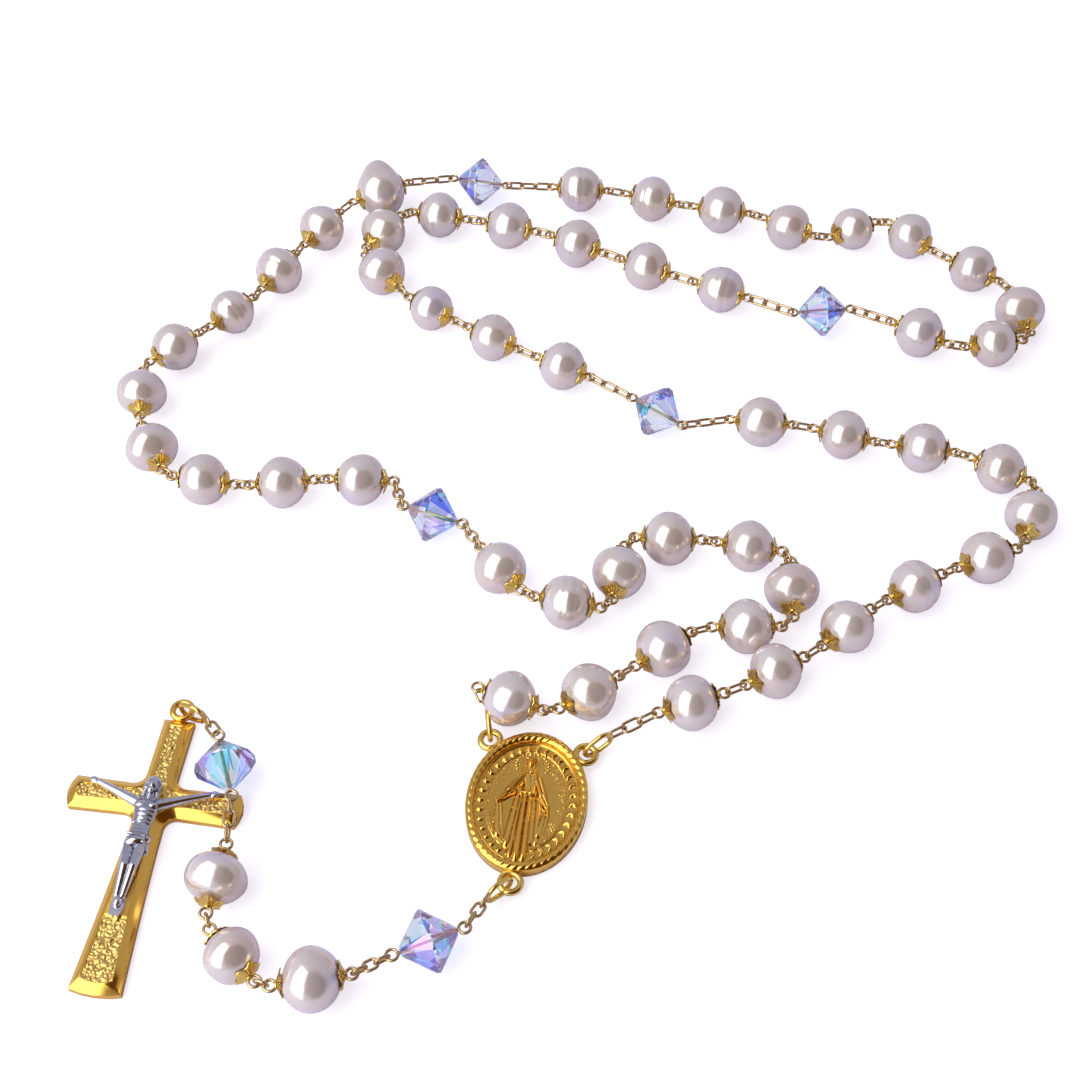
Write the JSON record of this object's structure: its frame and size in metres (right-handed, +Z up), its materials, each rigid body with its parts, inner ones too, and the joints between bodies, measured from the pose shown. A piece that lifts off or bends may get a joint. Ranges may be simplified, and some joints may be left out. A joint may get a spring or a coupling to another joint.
{
  "type": "rosary",
  "caption": "Rosary of near-round pearls and clear bicone crystals on a gold eye-pin chain, with an oval medal as the centrepiece and a gold crucifix with a silver corpus.",
  "frame": {"origin": "centre of the medal's flat back, on the surface that the rosary lies on", "axes": "+Z up from that surface; +Y away from the viewer, from the medal towards the far decades; +X to the right"},
  "size_m": [0.1612, 0.168, 0.0095],
  "materials": {
    "pearl": "lustrous nacre",
    "crystal": "polished facets with a rainbow coating",
    "gold": "polished gold plate, darkened in the recesses",
    "silver": "antiqued silver"
  },
  "bodies": {
    "medal": {"medal": "gold"},
    "pearl_1_01": {"pearl_1_01": "pearl"},
    "pearl_1_02": {"pearl_1_02": "pearl"},
    "pearl_1_03": {"pearl_1_03": "pearl"},
    "pearl_1_04": {"pearl_1_04": "pearl"},
    "pearl_1_05": {"pearl_1_05": "pearl"},
    "pearl_1_06": {"pearl_1_06": "pearl"},
    "pearl_1_07": {"pearl_1_07": "pearl"},
    "pearl_1_08": {"pearl_1_08": "pearl"},
    "pearl_1_09": {"pearl_1_09": "pearl"},
    "pearl_1_10": {"pearl_1_10": "pearl"},
    "crystal_1": {"crystal_1": "crystal"},
    "pearl_2_01": {"pearl_2_01": "pearl"},
    "pearl_2_02": {"pearl_2_02": "pearl"},
    "pearl_2_03": {"pearl_2_03": "pearl"},
    "pearl_2_04_05": {"pearl_2_04_05": "pearl"},
    "pearl_2_06": {"pearl_2_06": "pearl"},
    "pearl_2_07": {"pearl_2_07": "pearl"},
    "pearl_2_08": {"pearl_2_08": "pearl"},
    "pearl_2_09": {"pearl_2_09": "pearl"},
    "pearl_2_10": {"pearl_2_10": "pearl"},
    "crystal_2": {"crystal_2": "crystal"},
    "pearl_3_01": {"pearl_3_01": "pearl"},
    "pearl_3_02": {"pearl_3_02": "pearl"},
    "pearl_3_03": {"pearl_3_03": "pearl"},
    "pearl_3_04": {"pearl_3_04": "pearl"},
    "pearl_3_05_06": {"pearl_3_05_06": "pearl"},
    "pearl_5_10": {"pearl_5_10": "pearl"},
    "pearl_5_09": {"pearl_5_09": "pearl"},
    "pearl_5_08": {"pearl_5_08": "pearl"},
    "pearl_5_07": {"pearl_5_07": "pearl"},
    "pearl_5_06": {"pearl_5_06": "pearl"},
    "pearl_5_05": {"pearl_5_05": "pearl"},
    "pearl_5_04": {"pearl_5_04": "pearl"},
    "pearl_5_03": {"pearl_5_03": "pearl"},
    "pearl_5_02": {"pearl_5_02": "pearl"},
    "pearl_5_01": {"pearl_5_01": "pearl"},
    "crystal_4": {"crystal_4": "crystal"},
    "pearl_4_10": {"pearl_4_10": "pearl"},
    "pearl_4_09": {"pearl_4_09": "pearl"},
    "pearl_4_08": {"pearl_4_08": "pearl"},
    "pearl_4_07": {"pearl_4_07": "pearl"},
    "pearl_4_06": {"pearl_4_06": "pearl"},
    "pearl_4_05": {"pearl_4_05": "pearl"},
    "pearl_4_04": {"pearl_4_04": "pearl"},
    "pearl_4_03": {"pearl_4_03": "pearl"},
    "pearl_4_02": {"pearl_4_02": "pearl"},
    "pearl_4_01": {"pearl_4_01": "pearl"},
    "crystal_3": {"crystal_3": "crystal"},
    "pearl_3_10": {"pearl_3_10": "pearl"},
    "pearl_3_09": {"pearl_3_09": "pearl"},
    "pearl_3_08": {"pearl_3_08": "pearl"},
    "pearl_3_07": {"pearl_3_07": "pearl"},
    "pendant_crystal_1": {"pendant_crystal_1": "crystal"},
    "pendant_pearl_1": {"pendant_pearl_1": "pearl"},
    "pendant_pearl_2": {"pendant_pearl_2": "pearl"},
    "pendant_pearl_3": {"pendant_pearl_3": "pearl"},
    "pendant_crystal_2": {"pendant_crystal_2": "crystal"},
    "crucifix": {"crucifix": "gold", "corpus": "silver"}
  },
  "joints": [
    {"name": "swing_pearl_1_01", "type": "hinge", "parent": "medal", "child": "pearl_1_01", "pos_m": [0.00984, 0.00855, 0.0014], "axis": [0.5, -0.866, 0], "range_deg": [-60, 60]},
    {"name": "swing_pearl_1_02", "type": "hinge", "parent": "pearl_1_01", "child": "pearl_1_02", "pos_m": [0.03176, 0.01777, 0.00411], "axis": [-0.4029, 0.9152, 0], "range_deg": [-60, 60]},
    {"name": "swing_pearl_1_03", "type": "hinge", "parent": "pearl_1_02", "child": "pearl_1_03", "pos_m": [0.0439, 0.02457, 0.00424], "axis": [0.5593, -0.829, 0], "range_deg": [-60, 60]},
    {"name": "swing_pearl_1_04", "type": "hinge", "parent": "pearl_1_03", "child": "pearl_1_04", "pos_m": [0.05471, 0.03339, 0.00409], "axis": [-0.5629, 0.8265, 0], "range_deg": [-60, 60]},
    {"name": "swing_pearl_1_05", "type": "hinge", "parent": "pearl_1_04", "child": "pearl_1_05", "pos_m": [0.06634, 0.03962, 0.00421], "axis": [0.4233, -0.906, 0], "range_deg": [-60, 60]},
    {"name": "swing_pearl_1_06", "type": "hinge", "parent": "pearl_1_05", "child": "pearl_1_06", "pos_m": [0.07842, 0.04476, 0.00417], "axis": [-0.757, 0.6534, 0], "range_deg": [-60, 60]},
    {"name": "swing_pearl_1_07", "type": "hinge", "parent": "pearl_1_06", "child": "pearl_1_07", "pos_m": [0.08243, 0.05719, 0.00409], "axis": [0.962, 0.273, 0], "range_deg": [-60, 60]},
    {"name": "swing_pearl_1_08", "type": "hinge", "parent": "pearl_1_07", "child": "pearl_1_08", "pos_m": [0.07124, 0.06349, 0.0042], "axis": [-0.3566, -0.9342, 0], "range_deg": [-60, 60]},
    {"name": "swing_pearl_1_09", "type": "hinge", "parent": "pearl_1_08", "child": "pearl_1_09", "pos_m": [0.0582, 0.06586, 0.00408], "axis": [0.2389, 0.971, 0], "range_deg": [-60, 60]},
    {"name": "swing_pearl_1_10", "type": "hinge", "parent": "pearl_1_09", "child": "pearl_1_10", "pos_m": [0.045, 0.06962, 0.00418], "axis": [-0.1967, -0.9805, 0], "range_deg": [-60, 60]},
    {"name": "swing_crystal_1", "type": "hinge", "parent": "pearl_1_10", "child": "crystal_1", "pos_m": [0.02634, 0.0689, 0.00445], "axis": [-0.1921, 0.9814, 0], "range_deg": [-60, 60]},
    {"name": "swing_pearl_2_01", "type": "hinge", "parent": "crystal_1", "child": "pearl_2_01", "pos_m": [0.01117, 0.0804, 0.00409], "axis": [-0.5881, -0.8088, 0], "range_deg": [-60, 60]},
    {"name": "swing_pearl_2_02", "type": "hinge", "parent": "pearl_2_01", "child": "pearl_2_02", "pos_m": [-0.0012, 0.08697, 0.0041], "axis": [0.4967, 0.8679, 0], "range_deg": [-60, 60]},
    {"name": "swing_pearl_2_03", "type": "hinge", "parent": "pearl_2_02", "child": "pearl_2_03", "pos_m": [-0.01265, 0.09414, 0.0039], "axis": [-0.5539, -0.8326, 0], "range_deg": [-60, 60]},
    {"name": "swing_pearl_2_04_05", "type": "hinge", "parent": "pearl_2_03", "child": "pearl_2_04_05", "pos_m": [-0.0228, 0.10173, 0.00428], "axis": [0.7042, 0.71, 0], "range_deg": [-60, 60]},
    {"name": "swing_pearl_2_06", "type": "hinge", "parent": "pearl_2_04_05", "child": "pearl_2_06", "pos_m": [-0.02266, 0.12299, 0.00413], "axis": [-0.4099, 0.9121, 0], "range_deg": [-60, 60]},
    {"name": "swing_pearl_2_07", "type": "hinge", "parent": "pearl_2_06", "child": "pearl_2_07", "pos_m": [-0.00981, 0.12043, 0.00423], "axis": [-0.2306, -0.973, 0], "range_deg": [-60, 60]},
    {"name": "swing_pearl_2_08", "type": "hinge", "parent": "pearl_2_07", "child": "pearl_2_08", "pos_m": [0.00307, 0.11672, 0.00431], "axis": [0.3631, 0.9318, 0], "range_deg": [-60, 60]},
    {"name": "swing_pearl_2_09", "type": "hinge", "parent": "pearl_2_08", "child": "pearl_2_09", "pos_m": [0.01565, 0.11047, 0.00422], "axis": [-0.431, -0.9024, 0], "range_deg": [-60, 60]},
    {"name": "swing_pearl_2_10", "type": "hinge", "parent": "pearl_2_09", "child": "pearl_2_10", "pos_m": [0.0286, 0.10453, 0.00417], "axis": [0.4091, 0.9125, 0], "range_deg": [-60, 60]},
    {"name": "swing_crystal_2", "type": "hinge", "parent": "pearl_2_10", "child": "crystal_2", "pos_m": [0.04572, 0.09595, 0.00445], "axis": [-0.4656, -0.885, 0], "range_deg": [-60, 60]},
    {"name": "swing_pearl_3_01", "type": "hinge", "parent": "crystal_2", "child": "pearl_3_01", "pos_m": [0.06287, 0.09428, 0.00432], "axis": [0.4118, 0.9113, 0], "range_deg": [-60, 60]},
    {"name": "swing_pearl_3_02", "type": "hinge", "parent": "pearl_3_01", "child": "pearl_3_02", "pos_m": [0.07494, 0.08791, 0.00409], "axis": [-0.1195, -0.9928, 0], "range_deg": [-60, 60]},
    {"name": "swing_pearl_3_03", "type": "hinge", "parent": "pearl_3_02", "child": "pearl_3_03", "pos_m": [0.08768, 0.09054, 0.00429], "axis": [-0.7251, 0.6886, 0], "range_deg": [-60, 45]},
    {"name": "swing_pearl_3_04", "type": "hinge", "parent": "pearl_3_03", "child": "pearl_3_04", "pos_m": [0.08498, 0.10385, 0.00415], "axis": [0.8281, 0.5605, 0], "range_deg": [-60, 60]},
    {"name": "swing_pearl_3_05_06", "type": "hinge", "parent": "pearl_3_04", "child": "pearl_3_05_06", "pos_m": [0.07404, 0.11178, 0.00411], "axis": [-0.6511, -0.759, 0], "range_deg": [-60, 60]},
    {"name": "swing_pearl_5_10", "type": "hinge", "parent": "medal", "child": "pearl_5_10", "pos_m": [-0.00557, 0.01173, 0.0014], "axis": [-0.9925, -0.1219, 0], "range_deg": [-7.5, 60]},
    {"name": "swing_pearl_5_09", "type": "hinge", "parent": "pearl_5_10", "child": "pearl_5_09", "pos_m": [0.00314, 0.01343, 0.00415], "axis": [0.0877, -0.9961, 0], "range_deg": [-60, 60]},
    {"name": "swing_pearl_5_08", "type": "hinge", "parent": "pearl_5_09", "child": "pearl_5_08", "pos_m": [0.01435, 0.02016, 0.00426], "axis": [-0.561, 0.8278, 0], "range_deg": [-60, 60]},
    {"name": "swing_pearl_5_07", "type": "hinge", "parent": "pearl_5_08", "child": "pearl_5_07", "pos_m": [0.02556, 0.02805, 0.00429], "axis": [0.294, -0.9558, 0], "range_deg": [-60, 60]},
    {"name": "swing_pearl_5_06", "type": "hinge", "parent": "pearl_5_07", "child": "pearl_5_06", "pos_m": [0.03948, 0.02866, 0.00421], "axis": [-0.6906, 0.7232, 0], "range_deg": [-60, 60]},
    {"name": "swing_pearl_5_05", "type": "hinge", "parent": "pearl_5_06", "child": "pearl_5_05", "pos_m": [0.04121, 0.0419, 0.00422], "axis": [0.8871, 0.4617, 0], "range_deg": [-60, 60]},
    {"name": "swing_pearl_5_04", "type": "hinge", "parent": "pearl_5_05", "child": "pearl_5_04", "pos_m": [0.02903, 0.04524, 0.00414], "axis": [-0.1204, -0.9927, 0], "range_deg": [-60, 60]},
    {"name": "swing_pearl_5_03", "type": "hinge", "parent": "pearl_5_04", "child": "pearl_5_03", "pos_m": [0.01609, 0.04591, 0.00425], "axis": [-0.7479, 0.6638, 0], "range_deg": [-60, 60]},
    {"name": "swing_pearl_5_02", "type": "hinge", "parent": "pearl_5_03", "child": "pearl_5_02", "pos_m": [0.0128, 0.03292, 0.00427], "axis": [0.6477, -0.7619, 0], "range_deg": [-60, 60]},
    {"name": "swing_pearl_5_01", "type": "hinge", "parent": "pearl_5_02", "child": "pearl_5_01", "pos_m": [0.00018, 0.03456, 0.00415], "axis": [0.5023, 0.8647, 0], "range_deg": [-60, 60]},
    {"name": "swing_crystal_4", "type": "hinge", "parent": "pearl_5_01", "child": "crystal_4", "pos_m": [-0.00798, 0.04459, 0.00419], "axis": [-0.835, -0.5503, 0], "range_deg": [-60, 60]},
    {"name": "swing_pearl_4_10", "type": "hinge", "parent": "crystal_4", "child": "pearl_4_10", "pos_m": [-0.02087, 0.05245, 0.00445], "axis": [0.9485, 0.3168, 0], "range_deg": [-60, 60]},
    {"name": "swing_pearl_4_09", "type": "hinge", "parent": "pearl_4_10", "child": "pearl_4_09", "pos_m": [-0.03331, 0.05797, 0.00422], "axis": [0.0317, -0.9995, 0], "range_deg": [-60, 60]},
    {"name": "swing_pearl_4_08", "type": "hinge", "parent": "pearl_4_09", "child": "pearl_4_08", "pos_m": [-0.04603, 0.05663, 0.00415], "axis": [0.0452, 0.999, 0], "range_deg": [-60, 60]},
    {"name": "swing_pearl_4_07", "type": "hinge", "parent": "pearl_4_08", "child": "pearl_4_07", "pos_m": [-0.05887, 0.05877, 0.00418], "axis": [-0.5757, -0.8177, 0], "range_deg": [-60, 60]},
    {"name": "swing_pearl_4_06", "type": "hinge", "parent": "pearl_4_07", "child": "pearl_4_06", "pos_m": [-0.06495, 0.07027, 0.00424], "axis": [0.9635, 0.2678, 0], "range_deg": [-60, 60]},
    {"name": "swing_pearl_4_05", "type": "hinge", "parent": "pearl_4_06", "child": "pearl_4_05", "pos_m": [-0.06632, 0.08307, 0.00413], "axis": [-0.9293, 0.3693, 0], "range_deg": [-60, 60]},
    {"name": "swing_pearl_4_04", "type": "hinge", "parent": "pearl_4_05", "child": "pearl_4_04", "pos_m": [-0.05717, 0.09198, 0.00409], "axis": [0.7015, -0.7127, 0], "range_deg": [-60, 60]},
    {"name": "swing_pearl_4_03", "type": "hinge", "parent": "pearl_4_04", "child": "pearl_4_03", "pos_m": [-0.04861, 0.10102, 0.0039], "axis": [-0.8096, 0.587, 0], "range_deg": [-60, 60]},
    {"name": "swing_pearl_4_02", "type": "hinge", "parent": "pearl_4_03", "child": "pearl_4_02", "pos_m": [-0.04227, 0.11226, 0.00421], "axis": [0.8536, -0.5209, 0], "range_deg": [-60, 60]},
    {"name": "swing_pearl_4_01", "type": "hinge", "parent": "pearl_4_02", "child": "pearl_4_01", "pos_m": [-0.03501, 0.12345, 0.00417], "axis": [-0.6681, 0.744, 0], "range_deg": [-60, 60]},
    {"name": "swing_crystal_3", "type": "hinge", "parent": "pearl_4_01", "child": "crystal_3", "pos_m": [-0.02216, 0.13089, 0.0047], "axis": [0.1708, -0.9853, 0], "range_deg": [-60, 60]},
    {"name": "swing_pearl_3_10", "type": "hinge", "parent": "crystal_3", "child": "pearl_3_10", "pos_m": [-0.00351, 0.12974, 0.00445], "axis": [0.0133, 0.9999, 0], "range_deg": [-60, 60]},
    {"name": "swing_pearl_3_09", "type": "hinge", "parent": "pearl_3_10", "child": "pearl_3_09", "pos_m": [0.01561, 0.12859, 0.00422], "axis": [-0.1955, -0.9807, 0], "range_deg": [-60, 60]},
    {"name": "swing_pearl_3_08", "type": "hinge", "parent": "pearl_3_09", "child": "pearl_3_08", "pos_m": [0.02871, 0.12473, 0.00412], "axis": [0.2535, 0.9673, 0], "range_deg": [-60, 60]},
    {"name": "swing_pearl_3_07", "type": "hinge", "parent": "pearl_3_08", "child": "pearl_3_07", "pos_m": [0.04181, 0.12204, 0.00428], "axis": [-0.3602, -0.9329, 0], "range_deg": [-60, 60]},
    {"name": "swing_pendant_crystal_1", "type": "hinge", "parent": "medal", "child": "pendant_crystal_1", "pos_m": [-0.00327, -0.01373, 0.0014], "axis": [-0.7071, 0.7071, 0], "range_deg": [-60, 60]},
    {"name": "swing_pendant_pearl_1", "type": "hinge", "parent": "pendant_crystal_1", "child": "pendant_pearl_1", "pos_m": [-0.02212, -0.02716, 0.00432], "axis": [0.4479, -0.8941, 0], "range_deg": [-60, 60]},
    {"name": "swing_pendant_pearl_2", "type": "hinge", "parent": "pendant_pearl_1", "child": "pendant_pearl_2", "pos_m": [-0.03519, -0.02876, 0.0039], "axis": [0.3504, 0.9366, 0], "range_deg": [-60, 60]},
    {"name": "swing_pendant_pearl_3", "type": "hinge", "parent": "pendant_pearl_2", "child": "pendant_pearl_3", "pos_m": [-0.0434, -0.0194, 0.00418], "axis": [-0.9484, -0.317, 0], "range_deg": [-60, 60]},
    {"name": "swing_pendant_crystal_2", "type": "hinge", "parent": "pendant_pearl_3", "child": "pendant_crystal_2", "pos_m": [-0.0415, -0.00149, 0.00445], "axis": [1, 0.0061, 0], "range_deg": [-30, 60]},
    {"name": "swing_crucifix", "type": "hinge", "parent": "pendant_crystal_2", "child": "crucifix", "pos_m": [-0.05004, 0.01477, 0.0012], "axis": [-0.5, -0.866, 0], "range_deg": [-60, 0]}
  ]
}
